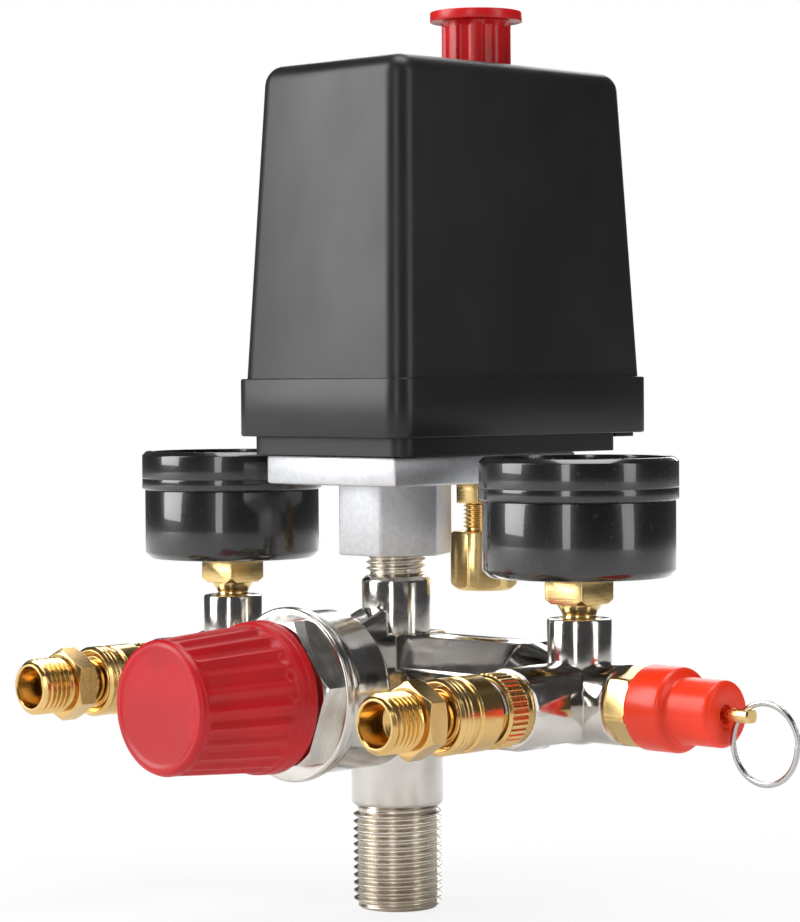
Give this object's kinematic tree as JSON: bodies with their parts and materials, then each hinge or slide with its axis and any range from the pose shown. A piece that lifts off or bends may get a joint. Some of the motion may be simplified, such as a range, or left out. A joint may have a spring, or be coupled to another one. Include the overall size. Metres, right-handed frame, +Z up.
{
  "type": "pressure switch",
  "caption": "Air compressor pressure switch with black hood and on-off knob, on a plated manifold with fluted regulator, dial gauges, brass quick couplers and safety valve",
  "frame": {"origin": "centre of the bottom end of the inlet thread, which screws into the tank", "axes": "+Z up along the inlet, +X towards the safety valve, -Y towards the regulator knob and the outlets"},
  "size_m": [0.2003, 0.136, 0.2145],
  "materials": {
    "plated_casting": "bright nickel plate over a cast body, satin on the rough cast parts",
    "cast_aluminium": "rough die cast",
    "zinc_steel": "zinc plated",
    "spring_steel": "drawn wire",
    "brass": "machined bright",
    "black_plastic": "satin moulded",
    "gauge_black": "gloss black enamel",
    "dial_white": "printed dial",
    "pointer_red": "painted",
    "clear_lens": "clear",
    "block_plastic": "moulded phenolic",
    "rubber": "matte",
    "knob_red": "semi gloss moulded",
    "button_red": "gloss moulded",
    "valve_cap_red": "semi gloss anodised look",
    "ring_steel": "polished wire"
  },
  "bodies": {
    "root": {"manifold_body": "plated_casting", "switch_hub": "cast_aluminium", "hub_screws": "zinc_steel", "unloader_body": "brass", "unloader_nut": "brass", "switch_base": "black_plastic", "switch_cover": "black_plastic", "cover_screw": "zinc_steel", "gland_plate": "black_plastic", "cable_grommets": "rubber", "steel_frame": "zinc_steel", "lever_pin": "zinc_steel", "switch_diaphragm": "rubber", "range_bolt": "zinc_steel", "range_nut": "zinc_steel", "range_spring": "spring_steel", "contact_block": "block_plastic", "terminals": "brass", "terminal_screws": "zinc_steel", "regulator_diaphragm": "rubber", "regulator_bonnet": "plated_casting", "regulator_spring": "spring_steel", "coupler_balls": "ring_steel", "relief_body": "brass", "relief_cap": "valve_cap_red", "relief_spring": "spring_steel", "gauge_movements": "brass", "bourdon_tubes": "brass", "coupler_socket_left": "brass", "coupler_socket_right": "brass", "coupler_spring_left": "spring_steel", "coupler_spring_right": "spring_steel", "gauge_socket_left": "brass", "gauge_socket_right": "brass", "gauge_case_left": "gauge_black", "gauge_case_right": "gauge_black", "gauge_bezel_left": "gauge_black", "gauge_bezel_right": "gauge_black", "gauge_lens_left": "clear_lens", "gauge_lens_right": "clear_lens", "gauge_dial_left": "dial_white", "gauge_dial_right": "dial_white"},
    "on_off_knob": {"on_off_knob": "button_red"},
    "trip_lever": {"trip_lever": "zinc_steel"},
    "pressure_lever": {"pressure_lever": "zinc_steel"},
    "plunger": {"plunger": "block_plastic"},
    "unloader_pin": {"unloader_pin": "brass"},
    "contact_bridge": {"contact_bridge": "block_plastic"},
    "regulator_spindle": {"regulator_spindle": "brass"},
    "regulator_knob": {"regulator_knob": "knob_red"},
    "regulator_seat": {"regulator_seat": "zinc_steel"},
    "regulator_poppet": {"regulator_poppet": "brass"},
    "relief_stem": {"relief_stem": "brass"},
    "pull_ring": {"pull_ring": "ring_steel"},
    "pointer_left": {"gauge_pointer_left": "pointer_red"},
    "sleeve_left": {"coupler_sleeve_left": "brass"},
    "plug_left": {"coupler_plug_left": "brass"},
    "pointer_right": {"gauge_pointer_right": "pointer_red"},
    "sleeve_right": {"coupler_sleeve_right": "brass"},
    "plug_right": {"coupler_plug_right": "brass"}
  },
  "joints": [
    {"name": "on_off_slide", "type": "slide", "parent": "root", "child": "on_off_knob", "axis": [0, 0, 1], "range_m": [-0.006, 0]},
    {"name": "trip_lever_hinge", "type": "hinge", "parent": "root", "child": "trip_lever", "pos_m": [0, 0.008, 0.1605], "axis": [1, 0, 0], "range_deg": [-18.2, 0]},
    {"name": "pressure_lever_hinge", "type": "hinge", "parent": "root", "child": "pressure_lever", "pos_m": [0, 0.014, 0.1195], "axis": [-1, 0, 0], "range_deg": [0, 4], "stiffness_Nm_per_rad": 2, "deforming": ["range_spring"]},
    {"name": "plunger_slide", "type": "slide", "parent": "root", "child": "plunger", "axis": [0, 0, 1], "range_m": [0, 0.00095]},
    {"name": "unloader_pin_slide", "type": "slide", "parent": "root", "child": "unloader_pin", "axis": [0, 0, -1], "range_m": [0, 0.00128]},
    {"name": "contact_bridge_slide", "type": "slide", "parent": "root", "child": "contact_bridge", "axis": [0, 0, -1], "range_m": [0, 0.00126]},
    {"name": "regulator_spindle_turn", "type": "hinge", "parent": "root", "child": "regulator_spindle", "pos_m": [0, -0.066, 0.053], "axis": [0, 1, 0], "range_deg": [0, 1080]},
    {"name": "regulator_knob_pull", "type": "slide", "parent": "regulator_spindle", "child": "regulator_knob", "axis": [0, -1, 0], "range_m": [0, 0.003]},
    {"name": "regulator_seat_slide", "type": "slide", "parent": "root", "child": "regulator_seat", "axis": [0, 1, 0], "range_m": [0, 0.0046], "deforming": ["regulator_spring"]},
    {"name": "regulator_poppet_slide", "type": "slide", "parent": "root", "child": "regulator_poppet", "axis": [0, 1, 0], "range_m": [0, 0.00085]},
    {"name": "relief_stem_slide", "type": "slide", "parent": "root", "child": "relief_stem", "axis": [1, 0, 0], "range_m": [0, 0.003], "stiffness_N_per_m": 600, "deforming": ["relief_spring"]},
    {"name": "pull_ring_swing", "type": "hinge", "parent": "relief_stem", "child": "pull_ring", "pos_m": [0.1039, 0, 0.053], "axis": [0.6428, 0, 0.766], "range_deg": [-45, 45]},
    {"name": "pointer_left_turn", "type": "hinge", "parent": "root", "child": "pointer_left", "pos_m": [-0.0581, 0, 0.0995], "axis": [0, 0, -1], "range_deg": [0, 270]},
    {"name": "sleeve_left_slide", "type": "slide", "parent": "root", "child": "sleeve_left", "axis": [0, 1, 0], "range_m": [0, 0.0022], "stiffness_N_per_m": 400, "deforming": ["coupler_spring_left"]},
    {"name": "plug_left_swivel", "type": "hinge", "parent": "root", "child": "plug_left", "pos_m": [-0.0581, -0.05, 0.053], "axis": [0, 1, 0], "continuous": true},
    {"name": "pointer_right_turn", "type": "hinge", "parent": "root", "child": "pointer_right", "pos_m": [0.0581, 0, 0.0995], "axis": [0, 0, -1], "range_deg": [0, 270]},
    {"name": "sleeve_right_slide", "type": "slide", "parent": "root", "child": "sleeve_right", "axis": [0, 1, 0], "range_m": [0, 0.0022], "stiffness_N_per_m": 400, "deforming": ["coupler_spring_right"]},
    {"name": "plug_right_swivel", "type": "hinge", "parent": "root", "child": "plug_right", "pos_m": [0.0581, -0.05, 0.053], "axis": [0, 1, 0], "continuous": true}
  ],
  "couplings": [
    {"joint": "trip_lever_hinge", "follows": "on_off_slide", "rad_per_m": 51},
    {"joint": "plunger_slide", "follows": "pressure_lever_hinge", "m_per_rad": 0.013},
    {"joint": "unloader_pin_slide", "follows": "pressure_lever_hinge", "m_per_rad": 0.0175},
    {"joint": "contact_bridge_slide", "follows": "pressure_lever_hinge", "m_per_rad": 0.0172},
    {"joint": "regulator_seat_slide", "follows": "regulator_spindle_turn", "m_per_rad": 0.00023873},
    {"joint": "regulator_poppet_slide", "follows": "regulator_spindle_turn", "m_per_rad": 0.00004244}
  ]
}
